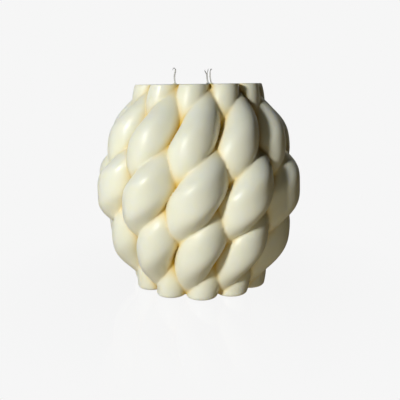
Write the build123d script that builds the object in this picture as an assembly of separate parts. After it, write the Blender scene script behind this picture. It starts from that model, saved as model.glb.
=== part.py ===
from build123d import *
import math
import os

# A moulded three-wick candle, in millimetres. The origin is the middle of its base and +Z is up.
# The wax is a barrel with a relief of upright ropes all round. Each rope is two round strands
# twisted about each other, and the ropes thin out towards the foot and the rim of the barrel.

# Wax body
HEIGHT = 144.3
ROPES = 11
WAIST_RADIUS = 51.4  # from the axis to the middle of a rope, at half height
FOOT_RADIUS = 33.2  # the same at the base
RIM_RADIUS = 32.0  # the same at the top
WAIST_SHARPNESS = 0.2  # 0 gives a cosine barrel, 1 a cosine squared one
CORE_RADIUS = 50.6  # solid wax behind the ropes, at half height

# Rope relief, sizes at half height
TWIST_PITCH = 77.0  # height of one full turn of a rope
STRAND_RADIUS = 14.9
STRAND_SPREAD = 7.1  # how far a strand swings sideways from the middle of its rope
STRAND_RISE = 9.1  # how far it swings in and out
STRAND_THINNING = 0.9  # how fast the strands thin as the barrel narrows, 1 being in step with it
SPREAD_THINNING = 1.6  # the same for their sideways swing
RISE_THINNING = 1.3  # the same for their swing in and out
SEAM_ANGLE = 120.0  # a strand's two faces meet this far round from its outer side
SECTIONS_PER_TURN = 9

# Wicks
WICK_DIAMETER = 1.5
WICK_CIRCLE_RADIUS = 16.9
WICK_TURN = -4.0  # turn of the triangle of wicks from the X axis, in degrees
WICK_BEND_RADIUS = 1.6
WICK_FIT = 0.05  # radial gap between a wick and what it passes through
# Each wick: its place round the triangle in degrees, and the points its free end goes through,
# sideways and up from where it leaves the wax.
WICKS = {
    "left": (180.0, [(-0.1, 5.5), (0.7, 9.2), (-0.4, 11.6)]),
    "front": (-60.0, [(-0.6, 6.0), (-2.1, 10.2)]),
    "rear": (60.0, [(-0.7, 5.5), (-0.6, 9.0), (0.7, 12.0)]),
}

# Wick sustainers: pressed metal tabs that hold the wicks upright in the base
TAB_DIAMETER = 15.0
TAB_THICKNESS = 0.4
TAB_INSET = 0.3  # the tab's underside lies this far above the base
NECK_HEIGHT = 5.0  # from the tab's underside to the top of the neck
NECK_WALL = 0.4
NECK_ROOT_RADIUS = 0.6
TAB_FIT = 0.05  # gap between a sustainer and the wax round it

HALF_HEIGHT = HEIGHT / 2
WICK_RADIUS = WICK_DIAMETER / 2
HOLE_RADIUS = WICK_RADIUS + WICK_FIT
STANDING = (Align.CENTER, Align.CENTER, Align.MIN)


def rope_radius(z):
    """Distance from the axis to the middle of a rope at height z."""
    swell = math.cos(math.pi / 2 * (z - HALF_HEIGHT) / HALF_HEIGHT)
    end = FOOT_RADIUS if z < HALF_HEIGHT else RIM_RADIUS
    share = (1 - WAIST_SHARPNESS) * swell + WAIST_SHARPNESS * swell**2
    return end + (WAIST_RADIUS - end) * share


def narrowing(z):
    """How wide the barrel is at height z, as a share of its waist."""
    return rope_radius(z) / WAIST_RADIUS


def levels():
    """Heights at which the wax is drawn, from base to top."""
    steps = math.ceil(HEIGHT / TWIST_PITCH * SECTIONS_PER_TURN)
    return [HEIGHT * i / steps for i in range(steps + 1)]


def strand_centre(z, start):
    """Middle of a strand at height z, in the rope that lies along +X."""
    turn = 2 * math.pi * (z - HALF_HEIGHT) / TWIST_PITCH + start
    outwards = rope_radius(z) + STRAND_RISE * narrowing(z) ** RISE_THINNING * math.cos(turn)
    sideways = STRAND_SPREAD * narrowing(z) ** SPREAD_THINNING * math.sin(turn)
    return Vector(outwards, sideways, z)


def strand_section(z, start):
    """Level cut through a round strand: an ellipse drawn out along the strand's slant."""
    step = HEIGHT / 1000
    slant = (strand_centre(z + step, start) - strand_centre(z - step, start)) / (2 * step)
    heading = math.degrees(math.atan2(slant.Y, slant.X))
    narrow = STRAND_RADIUS * narrowing(z) ** STRAND_THINNING
    long = narrow * math.hypot(slant.X, slant.Y, 1)
    outer = EllipticalCenterArc(
        (0, 0), long, narrow, -SEAM_ANGLE - heading, arc_size=2 * SEAM_ANGLE, rotation=heading
    )
    inner = EllipticalCenterArc(
        (0, 0), long, narrow, SEAM_ANGLE - heading, arc_size=360 - 2 * SEAM_ANGLE, rotation=heading
    )
    return Pos(strand_centre(z, start)) * make_face([outer, inner])


def make_rope():
    """Two strands twisted about each other, half a turn apart, from base to top along +X."""
    strands = [loft([strand_section(z, start) for z in levels()]) for start in (0, math.pi)]
    return strands[0] + strands[1]


def make_core():
    """Barrel of wax that backs the ropes."""
    side = Spline(*[(CORE_RADIUS * narrowing(z), 0, z) for z in levels()])
    ends = Polyline(side @ 0, (0, 0, 0), (0, 0, HEIGHT), side @ 1)
    return revolve(make_face([side, ends]), Axis.Z)


def sustainer_blank(grow):
    """Disc and neck of a sustainer without its hole, larger all round by a gap."""
    tab_radius = TAB_DIAMETER / 2 + grow
    neck_radius = HOLE_RADIUS + NECK_WALL + grow
    shoulder = TAB_THICKNESS + grow
    top = NECK_HEIGHT + grow
    outline = Polyline(
        (0, 0),
        (tab_radius, 0),
        (tab_radius, shoulder),
        (neck_radius, shoulder),
        (neck_radius, top),
        (0, top),
        close=True,
    )
    root = make_face(outline).vertices().sort_by_distance((neck_radius, shoulder))[0]
    return revolve(Plane.XZ * fillet(root, NECK_ROOT_RADIUS), Axis.Z)


def make_sustainer():
    """Sustainer over the origin, with the hole that grips the wick."""
    blank = sustainer_blank(0) - Cylinder(HOLE_RADIUS, NECK_HEIGHT, align=STANDING)
    return Pos(0, 0, TAB_INSET) * blank


def wick_hollow():
    """What a wick and its sustainer leave open in the wax, over the origin."""
    mouth = Cylinder(TAB_DIAMETER / 2 + TAB_FIT, TAB_INSET + TAB_THICKNESS, align=STANDING)
    seat = Pos(0, 0, TAB_INSET) * sustainer_blank(TAB_FIT)
    return mouth + seat + Cylinder(HOLE_RADIUS, HEIGHT, align=STANDING)


def wick_place(angle):
    """Where a wick stands on the base."""
    return Rot(0, 0, angle + WICK_TURN) * Pos(WICK_CIRCLE_RADIUS, 0, 0)


def make_wick(angle, bends):
    """Wick from the underside of its sustainer to its bent tip."""
    foot = wick_place(angle).position
    free_end = [Vector(foot.X + sideways, foot.Y, HEIGHT + up) for sideways, up in bends]
    path = FilletPolyline(
        foot + Vector(0, 0, TAB_INSET), foot + Vector(0, 0, HEIGHT), *free_end, radius=WICK_BEND_RADIUS
    )
    return sweep(Plane(path @ 0, z_dir=path % 0) * Circle(WICK_RADIUS), path)


def make_wax_body():
    """Core and ropes in one casting, open where the wicks and their sustainers are."""
    rope = make_rope()
    ropes = [Rot(0, 0, 360 / ROPES * i - 90) * rope for i in range(ROPES)]
    hollow = wick_hollow()
    # The pockets that the ropes shut in against the core are filled too, so only the outer skin counts.
    skin = (make_core() + ropes).shells().sort_by(SortBy.AREA)[-1]
    return Solid(skin) - [wick_place(angle) * hollow for angle, bends in WICKS.values()]


pieces = {"wax_body": make_wax_body()}
for name, (angle, bends) in WICKS.items():
    pieces["wick_" + name] = make_wick(angle, bends)
    pieces["sustainer_" + name] = wick_place(angle) * make_sustainer()

os.makedirs("parts", exist_ok=True)
for name, piece in pieces.items():
    export_step(piece, "parts/" + name + ".step")
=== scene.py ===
import math

import bpy
import numpy as np
from mathutils import Matrix, Vector, geometry


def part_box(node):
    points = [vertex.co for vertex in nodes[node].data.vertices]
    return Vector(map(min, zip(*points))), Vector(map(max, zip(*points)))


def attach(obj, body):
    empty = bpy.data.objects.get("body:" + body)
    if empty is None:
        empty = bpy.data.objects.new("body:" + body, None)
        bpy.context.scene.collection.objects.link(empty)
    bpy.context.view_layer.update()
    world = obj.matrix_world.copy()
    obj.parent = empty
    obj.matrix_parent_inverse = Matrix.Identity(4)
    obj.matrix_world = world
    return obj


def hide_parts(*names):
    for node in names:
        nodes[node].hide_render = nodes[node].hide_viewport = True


# A moulded three-wick candle of ivory wax with a relief of twisted ropes, in metres.
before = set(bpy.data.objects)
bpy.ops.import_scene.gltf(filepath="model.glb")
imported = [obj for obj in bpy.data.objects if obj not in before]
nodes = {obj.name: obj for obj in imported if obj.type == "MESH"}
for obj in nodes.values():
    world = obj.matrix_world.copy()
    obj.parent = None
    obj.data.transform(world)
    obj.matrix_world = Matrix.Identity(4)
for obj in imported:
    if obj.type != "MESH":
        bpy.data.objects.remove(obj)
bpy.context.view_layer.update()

# Relief of the wax, as in the CAD model
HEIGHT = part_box("wax_body")[1].z
HALF_HEIGHT = HEIGHT / 2
ROPES = 11
WAIST_RADIUS = 0.0514
FOOT_RADIUS = 0.0332
RIM_RADIUS = 0.0320
WAIST_SHARPNESS = 0.2
CORE_RADIUS = 0.0506
TWIST_PITCH = 0.0770
STRAND_RADIUS = 0.0149
STRAND_SPREAD = 0.0071
STRAND_RISE = 0.0091
STRAND_THINNING = 0.9
SPREAD_THINNING = 1.6
RISE_THINNING = 1.3
SECTOR = 2 * math.pi / ROPES
FRONT = -math.pi / 2

# Softness of the cast wax
CREASE_SOFTNESS = 0.00018
RIM_ROUNDING = 0.0008
FOOT_ROUNDING = 0.0018

# Painted amber glow and shade in the grooves: a tint that stands in for light soaking through the wax and
# for warm shade deep in the relief
GROOVE_WIDTH = 0.0032  # how far from a strand its neighbour is tinted
GROOVE_BLEND = 4 * CREASE_SOFTNESS  # how fast the tint ends where a crease is filled
GLOW_DEPTH_SHARE = 0.10  # share of the tint that only follows the depth, a painted warm shade that grows towards the core
GROOVE_DEPTHS = (0.25, 0.65)  # where the tint begins and is full, from the crests down to the core
GROOVE_LEAST = 0.15  # share of the tint in the shallowest creases
GROOVE_RANGE = (0.03, 0.95)  # shares that show as plain ivory and as full amber

# Mesh of the wax: samples over one rope, along the radius and up the height
COLUMNS = 28
RADIUS_STEP = 0.00124
HEIGHT_STEP = 0.00118
# Heights of the closer rows at an end, measured inwards from it
END_ROWS = (-0.0012, -0.0006, -0.0002, 0.00015, 0.0005, 0.0009, 0.0014, 0.0020, 0.0027)
END_ZONE = 0.0034  # the even rows begin this far from an end
INNER_RADIUS = 0.0250
OUTER_RADIUS = 0.0820
SMALL = 1e-5  # step for slopes
SETTLE_ROUNDS = 4
FLATTEST_SLOPE = 0.1  # squared, keeps a step towards the surface short
LARGEST_MOVE = 0.6 * RADIUS_STEP  # of a point in one round
CREASE_ROUNDS = 3
CREASE_REACH = 0.45 * RADIUS_STEP  # points nearer to a crease than this are moved onto it
CREASE_DAMPING = 0.02  # keeps the move short where two strands meet flatly

# Top of the wax
# Radii of its rings of points, closest where the wicks stand
TOP_RINGS = [
    0.0235, 0.0220, 0.0210, 0.0202, 0.0195, 0.0189, 0.0184, 0.0179, 0.0174, 0.0169, 0.0164,
    0.0159, 0.0154, 0.0149, 0.0143, 0.0136, 0.0128, 0.0110, 0.0088, 0.0064, 0.0040, 0.0018,
]
TOP_DISH = 0.0005
COLLAR_HEIGHT = 0.0010
COLLAR_REACH = 0.0008125  # distance from a wick in which its collar falls to a third

# Wicks: plaits of three plied yarns
WICK_RADIUS = 0.00075
WICK_CIRCLE_RADIUS = 0.0169
WICK_TURN = -4.0  # of the triangle of wicks, in degrees
WICK_PLACES = {"left": 180.0, "front": -60.0, "rear": 60.0}
WICK_FOOT = 0.0003  # height of a wick's lower end
PLAIT_LAY = 0.0046  # length of one round of the plait
PLAIT_WIDTH = 0.00034  # swing of a yarn sideways
PLAIT_DEPTH = 0.00018  # and to and fro
YARN_RADIUS = 0.00028
YARN_TIP = 0.6  # thickness of a yarn's end, as a share
YARN_SIDES = 12
YARN_PLIES = 3
PLY_DEPTH = 0.16
PLY_LAY = 0.0018
YARN_STEP = 0.00025
# Points of each wick above the wax, sideways and up: the plaited stem, then each yarn's loose end
WICK_STEMS = {
    "left": [(0.0, 0.0018), (-0.0003, 0.0043), (0.0, 0.0074), (0.0005, 0.0092)],
    "front": [(-0.0002, 0.0016), (-0.0005, 0.0034), (-0.0007, 0.0060)],
    "rear": [(-0.0003, 0.0020), (-0.0007, 0.0049), (-0.0007, 0.0080)],
}
WICK_ENDS = {
    "left": [
        [(0.0006, 0.0105), (-0.0003, 0.0119)],
        [(0.0004, 0.0110), (-0.0005, 0.0117), (-0.0011, 0.0112), (-0.0013, 0.0101)],
        [(0.0008, 0.0103), (0.0, 0.0116)],
    ],
    "front": [
        [(-0.0014, 0.0075), (-0.0020, 0.0087), (-0.0019, 0.0097)],
        [(-0.0011, 0.0073), (-0.0018, 0.0085), (-0.0022, 0.0095)],
        [(-0.0004, 0.0077), (0.0001, 0.0091), (0.0003, 0.0104)],
    ],
    "rear": [
        [(-0.0002, 0.0098), (0.0006, 0.0111)],
        [(-0.0004, 0.0096), (0.0002, 0.0106), (0.0009, 0.0109)],
        [(-0.0005, 0.0094), (-0.0001, 0.0112)],
    ],
}

# Seats of the wick tabs in the base: radius and height, from the base up to the end of the neck
SEAT_PROFILE = [(0.00755, 0.0), (0.00755, 0.00075), (0.00125, 0.00075), (0.00125, 0.00535)]
SEAT_SIDES = 48

# Studio: lamps as name, azimuth, elevation, distance, size, power and colour
LIGHTS = [
    ("key", -37, 17, 1.1, 0.16, 9.2, (0.98, 1.0, 1.0)),
    ("table", -2, -34, 1.1, 0.50, 1.9, (1.0, 0.94, 0.75)),
    ("rear_right", 152, 22, 1.3, 0.40, 7.0, (1.0, 0.99, 0.95)),
    ("rear_left", -142, 22, 1.3, 0.40, 6.0, (1.0, 0.99, 0.95)),
]
FLOOR_LIGHT = 0.13  # light that the floor throws back
FLOOR_TINT = (1.0, 0.74, 0.34)
FLOOR_FADE = (-0.6, 0.1)  # heights of a direction between which that light ends
PAPER = 0.9216
# Share of gloss in the floor near the candle; the glow it replaces there is partly a painted soft shadow
FLOOR_MIRROR_AND_SHADE = 0.055
MIRROR_LIFT = 0.6  # share of what the mirror takes from the paper's glow that is given back; the rest stays as a painted soft shadow round the candle
MIRROR_AND_SHADE_REACH = (0.05, 0.17)  # distances from the axis over which the mirror and its painted shadow fade out
FLOOR_ROUGHNESS = 0.07
FLOOR_SIDES = 96
DOME_SEGMENTS = 64
STAGE_RADIUS = 3.0

# Colours
IVORY_PALE = (0.94, 0.93, 0.79)
IVORY_DEEP = (0.925, 0.91, 0.76)
# painted glow and shade of the grooves, not a colour of the wax itself
PAINTED_AMBER_GLOW = (0.75, 0.53, 0.08)
COTTON_PALE = (0.80, 0.79, 0.76)
COTTON_DARK = (0.55, 0.54, 0.51)
COTTON_END = (0.20, 0.195, 0.19)
TIN_PALE = (0.74, 0.74, 0.73)
TIN_DARK = (0.60, 0.60, 0.59)

# Surfaces: patterns as waves per metre, depths of fine relief in metres
WAX_CLOUDS = 70
WAX_PATCHES = 180
WAX_PORES = 420
WAX_PORE_DEPTH = 0.00004
WAX_ROUGHNESS = (0.31, 0.41)
WAX_SPECULAR = 0.32
WAX_SOAK = 0.0005  # how far light soaks into the wax
WAX_SOAK_SHARES = (1.0, 0.95, 0.8)
COTTON_FIBRES = 5200
COTTON_FUZZ = 9000
COTTON_FUZZ_DEPTH = 0.00005
COTTON_ROUGHNESS = (0.95, 0.75)
COTTON_SPECULAR = 0.2
COTTON_SHEEN = 0.3
END_DARKENING = (0.1, 0.7, 0.0, 0.85)  # from and to along a loose end, and how dark it is there
TIN_GRAIN = (150, 4000, 150)
TIN_GRAIN_DEPTH = 0.00002
TIN_PATCHES = 500
TIN_ROUGHNESS = (0.24, 0.42)

# Camera, from the photograph's viewpoint
CAMERA_PLACE = (0.0010, -0.4253, 0.1442)
CAMERA_AZIMUTH = 1.4
CAMERA_TILT = 4.85
CAMERA_ROLL = -0.8
CAMERA_SENSOR = 36.0
CAMERA_LENS = 52.45
CAMERA_SHIFT_Y = -0.1665


def rope_radius(z):
    """Distance from the axis to the middle of a rope at height z."""
    swell = np.cos(math.pi / 2 * (z - HALF_HEIGHT) / HALF_HEIGHT)
    end = np.where(z < HALF_HEIGHT, FOOT_RADIUS, RIM_RADIUS)
    share = (1 - WAIST_SHARPNESS) * swell + WAIST_SHARPNESS * swell**2
    return end + (WAIST_RADIUS - end) * share


def strand_centre(z, start):
    """Middle of a strand at height z, outwards and sideways from the axis."""
    thinning = rope_radius(z) / WAIST_RADIUS
    turn = 2 * math.pi * (z - HALF_HEIGHT) / TWIST_PITCH + start
    out = rope_radius(z) + thinning**RISE_THINNING * STRAND_RISE * np.cos(turn)
    return out, thinning**SPREAD_THINNING * STRAND_SPREAD * np.sin(turn)


def wax_gaps(angle, radius, z):
    """Distances to the core and to the six nearest strands, at an angle from the middle of a rope."""
    z = np.clip(z, 0, HEIGHT)
    share = rope_radius(z) / WAIST_RADIUS
    thickness = STRAND_RADIUS * share**STRAND_THINNING
    gaps = [radius - CORE_RADIUS * share]
    for start in (0.0, math.pi):
        out, side = strand_centre(z, start)
        out_up, side_up = strand_centre(z + SMALL, start)
        lean_out = (out_up - out) / SMALL
        lean_side = (side_up - side) / SMALL
        steep = 1 + lean_out**2 + lean_side**2
        for rope in (-1, 0, 1):
            across = radius * np.cos(angle - rope * SECTOR) - out
            beside = radius * np.sin(angle - rope * SECTOR) - side
            along = (across * lean_out + beside * lean_side) ** 2 / steep
            gaps.append(np.sqrt(np.maximum(across**2 + beside**2 - along, 0)) - thickness)
    return np.stack(gaps)


def wax_field(angle, radius, z):
    """Distance to the surface of the wax, below 0 inside, with soft creases and rounded ends."""
    gaps = wax_gaps(angle, radius, z)
    low = gaps.min(0)
    field = low - CREASE_SOFTNESS * np.log(np.exp((low - gaps) / CREASE_SOFTNESS).sum(0))
    for end, rounding in ((z - HEIGHT, RIM_ROUNDING), (-z, FOOT_ROUNDING)):
        a = field + rounding
        b = end + rounding
        field = np.minimum(np.maximum(a, b), 0) + np.hypot(np.maximum(a, 0), np.maximum(b, 0)) - rounding
    return field


def slopes(function, points):
    """Slope of a function of (angle, radius, z) along the arc, outwards and upwards."""
    a, r, z = points.T
    return np.stack([
        (function(a + SMALL / r, r, z) - function(a - SMALL / r, r, z)) / (2 * SMALL),
        (function(a, r + SMALL, z) - function(a, r - SMALL, z)) / (2 * SMALL),
        (function(a, r, z + SMALL) - function(a, r, z - SMALL)) / (2 * SMALL),
    ], -1)


def shifted(points, move):
    """Points moved along the arc, outwards and upwards, by no more than part of a cell."""
    length = np.maximum(np.linalg.norm(move, axis=1), 1e-12)
    move = move * np.minimum(1, LARGEST_MOVE / length)[:, None]
    return points + np.stack([move[:, 0] / points[:, 1], move[:, 1], move[:, 2]], 1)


def settle(points):
    """Points moved onto the surface of the wax."""
    for _ in range(SETTLE_ROUNDS):
        slope = slopes(wax_field, points)
        steep = np.maximum((slope**2).sum(1), FLATTEST_SLOPE)
        points = shifted(points, -(wax_field(*points.T) / steep)[:, None] * slope)
    return points


def snap_to_creases(points):
    """Points beside a crease moved onto the line where the two strands meet."""
    gaps = wax_gaps(*points.T)
    pair = np.argsort(gaps, axis=0)[:2]
    middle = (points[:, 2] > 2 * FOOT_ROUNDING) & (points[:, 2] < HEIGHT - 2 * RIM_ROUNDING)
    near = middle & (np.take_along_axis(gaps, pair, 0)[1] < CREASE_REACH)
    moved, pair = points[near], pair[:, near]
    level = CREASE_SOFTNESS * math.log(2)
    for _ in range(CREASE_ROUNDS):
        value = np.take_along_axis(wax_gaps(*moved.T), pair, 0) - level
        slope = np.take_along_axis(slopes(wax_gaps, moved), pair[..., None], 0)
        gram = np.einsum("inx,jnx->nij", slope, slope) + CREASE_DAMPING * np.eye(2)
        weight = np.linalg.solve(gram, -value.T[..., None])[..., 0]
        moved = shifted(moved, np.einsum("ni,inx->nx", weight, slope))
    points = points.copy()
    points[near] = moved
    return points


def painted_glow_shares(points):
    """Share of painted amber glow and shade at each point: 0 on a crest, 1 deep down where other strands
    close over it.
    """
    gaps = np.sort(wax_gaps(*points.T), axis=0)
    on_side = np.exp(np.minimum(gaps[0], 0) / GROOVE_BLEND)
    closed = 1 - np.prod(1 - np.exp(-np.maximum(gaps[1:], 0) / GROOVE_WIDTH), axis=0)
    share = rope_radius(points[:, 2]) / WAIST_RADIUS
    crest = (WAIST_RADIUS + STRAND_RISE + STRAND_RADIUS) * share
    depth = np.clip((crest - points[:, 1]) / (crest - CORE_RADIUS * share), 0, 1)
    begin, full = GROOVE_DEPTHS
    deep = np.clip((depth - begin) / (full - begin), GROOVE_LEAST, 1)
    return GLOW_DEPTH_SHARE * depth + (1 - GLOW_DEPTH_SHARE) * on_side * closed * deep


def sector_net():
    """Surface net of one rope's sector.

    Gives points (angle, radius, z), their shares of painted glow and shade, quads as (turn, point) pairs,
    and the end rings.
    """
    angles = (np.arange(COLUMNS + 1) / COLUMNS - 0.5) * SECTOR
    radii = np.arange(INNER_RADIUS, OUTER_RADIUS, RADIUS_STEP)
    end_rows = np.array(END_ROWS)
    rows = round((HEIGHT - 2 * END_ZONE) / HEIGHT_STEP) + 1
    even_rows = np.linspace(END_ZONE, HEIGHT - END_ZONE, rows)
    heights = np.concatenate([end_rows, even_rows, (HEIGHT - end_rows)[::-1]])
    grid = np.meshgrid(angles, radii, heights, indexing="ij")
    field = wax_field(*grid)
    inside = field < 0
    shape = tuple(n - 1 for n in field.shape)

    def at(values, corner):
        return values[tuple(slice(c, c + n) for c, n in zip(corner, shape))]

    total = np.zeros(shape + (3,))
    count = np.zeros(shape)
    for axis in range(3):
        for corner in np.ndindex(2, 2, 2):
            if corner[axis]:
                continue
            other = tuple(c + (i == axis) for i, c in enumerate(corner))
            crossed = at(inside, corner) != at(inside, other)
            fall = at(field, corner) - at(field, other)
            share = np.where(crossed, at(field, corner) / np.where(crossed, fall, 1), 0)
            for i in range(3):
                step = share * (at(grid[i], other) - at(grid[i], corner))
                total[..., i] += np.where(crossed, at(grid[i], corner) + step, 0)
            count += crossed
    active = count > 0
    index = np.full(shape, -1)
    index[active] = np.arange(active.sum())
    points = snap_to_creases(settle(total[active] / count[active][:, None]))
    grooves = painted_glow_shares(points)

    quads = []
    for axis in range(3):
        lower = tuple(slice(0, n) if i == axis else slice(0, n + 1) for i, n in enumerate(shape))
        upper = tuple(slice(1, n + 1) if i == axis else slice(0, n + 1) for i, n in enumerate(shape))
        edges = np.argwhere(inside[lower] != inside[upper])
        b, c = [i for i in range(3) if i != axis]
        for e in edges:
            if e[0] >= COLUMNS or any(i != axis and not 1 <= e[i] < shape[i] for i in (1, 2)):
                continue
            ring = []
            for db, dc in ((-1, -1), (0, -1), (0, 0), (-1, 0)):
                cell = list(e)
                cell[b] += db
                cell[c] += dc
                ring.append((-1 if cell[0] < 0 else 0, index[cell[0] % COLUMNS, cell[1], cell[2]]))
            flip = inside[tuple(e)] != (axis == 1)
            quads.append(ring[::-1] if flip else ring)
    rings = [[index[i, 0, np.flatnonzero(active[i, 0])[k]] for i in range(COLUMNS)] for k in (0, -1)]
    return points, grooves, quads, rings


def wick_foot(name):
    """Place of a wick on the base."""
    angle = math.radians(WICK_PLACES[name] + WICK_TURN)
    return Vector((WICK_CIRCLE_RADIUS * math.cos(angle), WICK_CIRCLE_RADIUS * math.sin(angle), 0))


def top_height(x, y):
    """Height of the top of the wax: a shallow dish, drawn up round the wicks."""
    r = math.hypot(x, y)
    z = HEIGHT - TOP_DISH * max(0, 1 - (r / INNER_RADIUS) ** 2) ** 2
    for name in WICK_PLACES:
        foot = wick_foot(name)
        gap = max(0, math.hypot(x - foot.x, y - foot.y) - WICK_RADIUS)
        z += COLLAR_HEIGHT * math.exp(-gap / COLLAR_REACH)
    return z


def mesh_object(name, verts, faces):
    """New smooth mesh object in the scene."""
    mesh = bpy.data.meshes.new(name)
    mesh.from_pydata(verts, [], faces)
    mesh.validate()
    mesh.polygons.foreach_set("use_smooth", [True] * len(mesh.polygons))
    piece = bpy.data.objects.new(name, mesh)
    bpy.context.scene.collection.objects.link(piece)
    return piece


def build_wax():
    """The casting: the relief all round, its flat top and its base with the seats of the wick tabs."""
    points, grooves, quads, rings = sector_net()
    n = len(points)
    verts, faces = [], []
    for rope in range(ROPES):
        a = points[:, 0] + rope * SECTOR + FRONT
        verts += np.stack([points[:, 1] * np.cos(a), points[:, 1] * np.sin(a), points[:, 2]], 1).tolist()
        faces += [[(rope + turn) % ROPES * n + i for turn, i in ring] for ring in quads]
    foot, rim = [[rope * n + i for rope in range(ROPES) for i in ring] for ring in rings]

    ring = rim
    for radius in TOP_RINGS:
        inner = list(range(len(verts), len(verts) + len(ring)))
        for i in ring:
            angle = math.atan2(verts[i][1], verts[i][0])
            x, y = radius * math.cos(angle), radius * math.sin(angle)
            verts.append((x, y, top_height(x, y)))
        faces += [(ring[i - 1], ring[i], inner[i], inner[i - 1]) for i in range(len(ring))]
        ring = inner
    verts.append((0, 0, top_height(0, 0)))
    faces += [(ring[i - 1], ring[i], len(verts) - 1) for i in range(len(ring))]

    loops = [foot]
    for name in WICK_PLACES:
        place = wick_foot(name)
        rows = []
        for radius, z in SEAT_PROFILE:
            rows.append(list(range(len(verts), len(verts) + SEAT_SIDES)))
            for k in range(SEAT_SIDES):
                angle = 2 * math.pi * k / SEAT_SIDES
                verts.append((place.x + radius * math.cos(angle), place.y + radius * math.sin(angle), z))
        loops.append(rows[0])
        for low, high in zip(rows, rows[1:]):
            faces += [(low[i], low[i - 1], high[i - 1], high[i]) for i in range(SEAT_SIDES)]
        faces.append(rows[-1][::-1])
    flat = [i for loop in loops for i in loop]
    for triangle in geometry.tessellate_polygon([[Vector(verts[i]) for i in loop] for loop in loops]):
        faces.append([flat[i] for i in reversed(triangle)])

    wax = mesh_object("wax_relief", verts, faces)
    # Share of painted amber glow and shade at each point, none on the top and base
    painted_glow = np.zeros(len(verts))
    painted_glow[: n * ROPES] = np.tile(grooves, ROPES)
    wax.data.attributes.new("painted_groove_glow", "FLOAT", "POINT").data.foreach_set("value", painted_glow)
    return wax


def smooth_line(points):
    """Closely spaced points on a smooth line through the given ones."""
    ends = [2 * points[0] - points[1], 2 * points[-1] - points[-2]]
    points = [ends[0], *points, ends[1]]
    line = []
    for a, b, c, d in zip(points, points[1:], points[2:], points[3:]):
        steps = max(2, round(np.linalg.norm(c - b) / YARN_STEP))
        for t in np.arange(steps) / steps:
            bend = (2 * a - 5 * b + 4 * c - d) * t**2 + (3 * b - a - 3 * c + d) * t**3
            line.append((2 * b + (c - a) * t + bend) / 2)
    return np.array(line + [points[-2]])


def yarn_tube(line, radii, verts, faces):
    """Adds a plied yarn along a line, closed at both ends."""
    tangent = np.gradient(line, axis=0)
    tangent /= np.linalg.norm(tangent, axis=1)[:, None]
    length = np.concatenate([[0], np.cumsum(np.linalg.norm(np.diff(line, axis=0), axis=1))])
    across = np.cross(tangent[0], (0, 1, 0))
    rows = []
    for centre, along, radius, s in zip(line, tangent, radii, length):
        across = across - along * (across @ along)
        across /= np.linalg.norm(across)
        beside = np.cross(along, across)
        rows.append(list(range(len(verts), len(verts) + YARN_SIDES)))
        for k in range(YARN_SIDES):
            angle = 2 * math.pi * k / YARN_SIDES
            ply = 1 + PLY_DEPTH * math.cos(YARN_PLIES * angle - 2 * math.pi * s / PLY_LAY)
            offset = math.cos(angle) * across + math.sin(angle) * beside
            verts.append((centre + radius * ply * offset).tolist())
    for low, high in zip(rows, rows[1:]):
        faces += [(low[i - 1], low[i], high[i], high[i - 1]) for i in range(YARN_SIDES)]
    faces.append(rows[0][::-1])
    faces.append(rows[-1])


def build_wick(name):
    """A plaited wick from its tab to its loose yarn ends."""
    foot = np.array(wick_foot(name))
    exit_point = foot + (0, 0, HEIGHT)
    stem = [exit_point] + [exit_point + (x, 0, z) for x, z in WICK_STEMS[name]]
    buried_steps = round((HEIGHT - WICK_FOOT) / YARN_STEP)
    buried = np.linspace(foot + (0, 0, WICK_FOOT), exit_point, buried_steps, endpoint=False)
    middle = np.concatenate([buried, smooth_line(stem)])
    along = np.gradient(middle, axis=0)
    along /= np.linalg.norm(along, axis=1)[:, None]
    side = np.cross((0, 1, 0), along)
    side /= np.linalg.norm(side, axis=1)[:, None]
    depth = np.cross(along, side)
    length = np.concatenate([[0], np.cumsum(np.linalg.norm(np.diff(middle, axis=0), axis=1))])
    verts, faces, looseness = [], [], []
    for i, end in enumerate(WICK_ENDS[name]):
        phase = (2 * math.pi * (length / PLAIT_LAY + i / 3))[:, None]
        plaited = middle + PLAIT_WIDTH * np.sin(phase) * side + PLAIT_DEPTH * np.sin(2 * phase) * depth
        loose = [plaited[-1]] + [exit_point + (x, (i - 1) * PLAIT_WIDTH, z) for x, z in end]
        loose = smooth_line(loose)[1:]
        line = np.concatenate([plaited, loose])
        share = np.concatenate([np.zeros(len(plaited)), np.linspace(0, 1, len(loose))])
        yarn_tube(line, YARN_RADIUS * (1 - (1 - YARN_TIP) * share**2), verts, faces)
        looseness += np.repeat(share, YARN_SIDES).tolist()
    wick = mesh_object("wick_" + name + "_braid", verts, faces)
    wick.data.attributes.new("loose_end", "FLOAT", "POINT").data.foreach_set("value", looseness)
    return wick


def new_material(name):
    """Empty node material, with its tree and its main shader."""
    material = bpy.data.materials.new(name)
    material.use_nodes = True
    tree = material.node_tree
    return material, tree, tree.nodes["Principled BSDF"]


def noise(tree, scale, detail):
    """Cloudy pattern in the object's own frame, from 0 to 1."""
    place = tree.nodes.new("ShaderNodeTexCoord")
    texture = tree.nodes.new("ShaderNodeTexNoise")
    texture.inputs["Scale"].default_value = scale
    texture.inputs["Detail"].default_value = detail
    tree.links.new(place.outputs["Object"], texture.inputs["Vector"])
    return texture.outputs["Fac"]


def attribute(tree, name):
    """Value stored on the mesh's points."""
    node = tree.nodes.new("ShaderNodeAttribute")
    node.attribute_name = name
    return node.outputs["Fac"]


def ranged(tree, value, low, high, to_low, to_high):
    """Value moved from one range to another, and kept inside it."""
    node = tree.nodes.new("ShaderNodeMapRange")
    tree.links.new(value, node.inputs["Value"])
    for name, number in (("From Min", low), ("From Max", high), ("To Min", to_low), ("To Max", to_high)):
        node.inputs[name].default_value = number
    return node.outputs["Result"]


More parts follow.
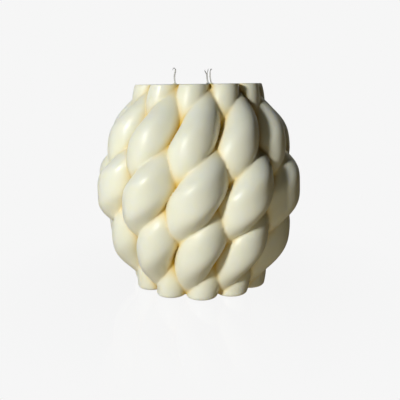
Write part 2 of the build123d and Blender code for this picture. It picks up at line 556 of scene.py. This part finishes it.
def mixed(tree, share, first, second):
    """Colour between two colours, each a colour or a socket."""
    node = tree.nodes.new("ShaderNodeMix")
    node.data_type = "RGBA"
    tree.links.new(share, node.inputs["Factor"])
    for socket, colour in ((node.inputs[6], first), (node.inputs[7], second)):
        if isinstance(colour, tuple):
            socket.default_value = (*colour, 1)
        else:
            tree.links.new(colour, socket)
    return node.outputs[2]


def bumped(tree, shader, height, distance, strength):
    """Fine relief on a shader."""
    node = tree.nodes.new("ShaderNodeBump")
    node.inputs["Distance"].default_value = distance
    node.inputs["Strength"].default_value = strength
    tree.links.new(height, node.inputs["Height"])
    tree.links.new(node.outputs["Normal"], shader.inputs["Normal"])


def wax_material():
    """Ivory wax: cloudy, with amber glow and shade painted in the grooves where light would soak through,
    satin with patches of gloss.
    """
    material, tree, shader = new_material("ivory_wax")
    cloud = mixed(tree, ranged(tree, noise(tree, WAX_CLOUDS, 3), 0.35, 0.65, 0, 1), IVORY_DEEP, IVORY_PALE)
    # Painted glow and shade: the base colour turns amber by the stored share
    painted_groove_glow = ranged(tree, attribute(tree, "painted_groove_glow"), *GROOVE_RANGE, 0.0, 1.0)
    tree.links.new(mixed(tree, painted_groove_glow, cloud, PAINTED_AMBER_GLOW), shader.inputs["Base Color"])
    gloss = ranged(tree, noise(tree, WAX_PATCHES, 4), 0.3, 0.7, *WAX_ROUGHNESS)
    tree.links.new(gloss, shader.inputs["Roughness"])
    bumped(tree, shader, noise(tree, WAX_PORES, 4), WAX_PORE_DEPTH, 0.5)
    shader.inputs["Specular IOR Level"].default_value = WAX_SPECULAR
    shader.inputs["Subsurface Weight"].default_value = 1.0
    shader.inputs["Subsurface Radius"].default_value = WAX_SOAK_SHARES
    shader.inputs["Subsurface Scale"].default_value = WAX_SOAK
    return material


def cotton_material():
    """Undyed cotton, greyer and darker towards the loose ends."""
    material, tree, shader = new_material("wick_cotton")
    fibre = ranged(tree, noise(tree, COTTON_FIBRES, 5), 0.35, 0.65, 0, 1)
    clean = mixed(tree, fibre, COTTON_DARK, COTTON_PALE)
    end = ranged(tree, attribute(tree, "loose_end"), *END_DARKENING)
    tree.links.new(mixed(tree, end, clean, COTTON_END), shader.inputs["Base Color"])
    tree.links.new(ranged(tree, fibre, 0, 1, *COTTON_ROUGHNESS), shader.inputs["Roughness"])
    bumped(tree, shader, noise(tree, COTTON_FUZZ, 3), COTTON_FUZZ_DEPTH, 0.7)
    shader.inputs["Specular IOR Level"].default_value = COTTON_SPECULAR
    shader.inputs["Sheen Weight"].default_value = COTTON_SHEEN
    return material


def tin_material():
    """Tinned sheet steel with a faint rolled grain."""
    material, tree, shader = new_material("tinned_steel")
    place = tree.nodes.new("ShaderNodeTexCoord")
    stretch = tree.nodes.new("ShaderNodeMapping")
    stretch.inputs["Scale"].default_value = TIN_GRAIN
    grain = tree.nodes.new("ShaderNodeTexNoise")
    grain.inputs["Scale"].default_value = 1.0
    grain.inputs["Detail"].default_value = 4
    tree.links.new(place.outputs["Object"], stretch.inputs["Vector"])
    tree.links.new(stretch.outputs["Vector"], grain.inputs["Vector"])
    rolled = grain.outputs["Fac"]
    shade = ranged(tree, rolled, 0.3, 0.7, 0, 1)
    tree.links.new(mixed(tree, shade, TIN_DARK, TIN_PALE), shader.inputs["Base Color"])
    worn = ranged(tree, noise(tree, TIN_PATCHES, 3), 0.3, 0.7, *TIN_ROUGHNESS)
    tree.links.new(worn, shader.inputs["Roughness"])
    bumped(tree, shader, rolled, TIN_GRAIN_DEPTH, 0.4)
    shader.inputs["Metallic"].default_value = 1.0
    return material


def make_camera():
    """Camera at the photograph's viewpoint."""
    data = bpy.data.cameras.new("camera")
    data.lens = CAMERA_LENS
    data.sensor_width = CAMERA_SENSOR
    data.shift_y = CAMERA_SHIFT_Y
    camera = bpy.data.objects.new("camera", data)
    bpy.context.scene.collection.objects.link(camera)
    tilt = Matrix.Rotation(math.radians(90 - CAMERA_TILT), 4, "X")
    roll = Matrix.Rotation(math.radians(CAMERA_ROLL), 4, "Z")
    round_axis = Matrix.Rotation(math.radians(CAMERA_AZIMUTH), 4, "Z")
    camera.matrix_world = round_axis @ Matrix.Translation(CAMERA_PLACE) @ tilt @ roll
    bpy.context.scene.camera = camera


def area_light(name, azimuth, elevation, distance, size, power, colour):
    """Square lamp aimed at the middle of the candle.

    Azimuth 0 is the camera's side, and it grows to the right. Only the key shows in gloss.
    """
    a, e = math.radians(azimuth), math.radians(elevation)
    aim = Vector((0, 0, HALF_HEIGHT))
    place = aim + distance * Vector((math.sin(a) * math.cos(e), -math.cos(a) * math.cos(e), math.sin(e)))
    data = bpy.data.lights.new(name, "AREA")
    data.energy = power
    data.color = colour
    data.size = size
    lamp = bpy.data.objects.new(name, data)
    bpy.context.scene.collection.objects.link(lamp)
    lamp.location = place
    lamp.rotation_euler = (aim - place).to_track_quat("-Z", "Y").to_euler()
    lamp.visible_glossy = name == "key"


def glowing_paper(name, mirror_and_shade):
    """Bright paper, with a share of soft mirror in it near the candle, where its glow is also dimmed a
    little as a painted soft shadow.
    """
    material = bpy.data.materials.new(name)
    material.use_nodes = True
    tree = material.node_tree
    tree.nodes.clear()
    out = tree.nodes.new("ShaderNodeOutputMaterial")
    mix = tree.nodes.new("ShaderNodeMixShader")
    glow = tree.nodes.new("ShaderNodeEmission")
    gloss = tree.nodes.new("ShaderNodeBsdfGlossy")
    place = tree.nodes.new("ShaderNodeTexCoord")
    reach = tree.nodes.new("ShaderNodeVectorMath")
    reach.operation = "LENGTH"
    tree.links.new(place.outputs["Object"], reach.inputs[0])
    # Near the candle gloss takes a share of the glow, and what the lift doesn't give back is painted shade
    tree.links.new(ranged(tree, reach.outputs["Value"], *MIRROR_AND_SHADE_REACH, mirror_and_shade, 0.0), mix.inputs["Fac"])
    glowing = ranged(tree, reach.outputs["Value"], *MIRROR_AND_SHADE_REACH, 1 + MIRROR_LIFT * mirror_and_shade, 1.0)
    tree.links.new(glowing, glow.inputs["Strength"])
    glow.inputs["Color"].default_value = (PAPER, PAPER, PAPER, 1)
    gloss.inputs["Roughness"].default_value = FLOOR_ROUGHNESS
    tree.links.new(glow.outputs[0], mix.inputs[1])
    tree.links.new(gloss.outputs[0], mix.inputs[2])
    tree.links.new(mix.outputs[0], out.inputs["Surface"])
    return material


def make_stage():
    """Pale floor and a pale dome round it, seen by the camera alone."""
    bpy.ops.mesh.primitive_circle_add(vertices=FLOOR_SIDES, radius=STAGE_RADIUS, fill_type="NGON")
    floor = bpy.context.object
    floor.name = "floor"
    floor.data.materials.append(glowing_paper("floor_paper", FLOOR_MIRROR_AND_SHADE))
    rings = DOME_SEGMENTS // 2
    bpy.ops.mesh.primitive_uv_sphere_add(segments=DOME_SEGMENTS, ring_count=rings, radius=STAGE_RADIUS)
    dome = bpy.context.object
    dome.name = "backdrop"
    dome.data.materials.append(glowing_paper("backdrop_paper", 0.0))
    for piece in (floor, dome):
        piece.visible_diffuse = False
        piece.visible_shadow = False
        piece.visible_glossy = False


def make_world():
    """Warm light from below, as a pale floor throws it back."""
    world = bpy.data.worlds.new("studio")
    bpy.context.scene.world = world
    world.use_nodes = True
    tree = world.node_tree
    place = tree.nodes.new("ShaderNodeTexCoord")
    split = tree.nodes.new("ShaderNodeSeparateXYZ")
    tree.links.new(place.outputs["Generated"], split.inputs[0])
    level = ranged(tree, split.outputs["Z"], *FLOOR_FADE, FLOOR_LIGHT, 0.0)
    tree.links.new(level, tree.nodes["Background"].inputs["Strength"])
    tree.nodes["Background"].inputs["Color"].default_value = (*FLOOR_TINT, 1)


wax = build_wax()
wax.data.materials.append(wax_material())
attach(wax, "root")
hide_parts("wax_body")

cotton = cotton_material()
tin = tin_material()
for name in WICK_PLACES:
    wick = build_wick(name)
    wick.data.materials.append(cotton)
    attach(wick, "root")
    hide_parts("wick_" + name)
    tab = nodes["sustainer_" + name]
    tab.data.materials.clear()
    tab.data.materials.append(tin)

make_camera()
make_stage()
make_world()
for light in LIGHTS:
    area_light(*light)
bpy.context.scene.view_settings.view_transform = "Standard"
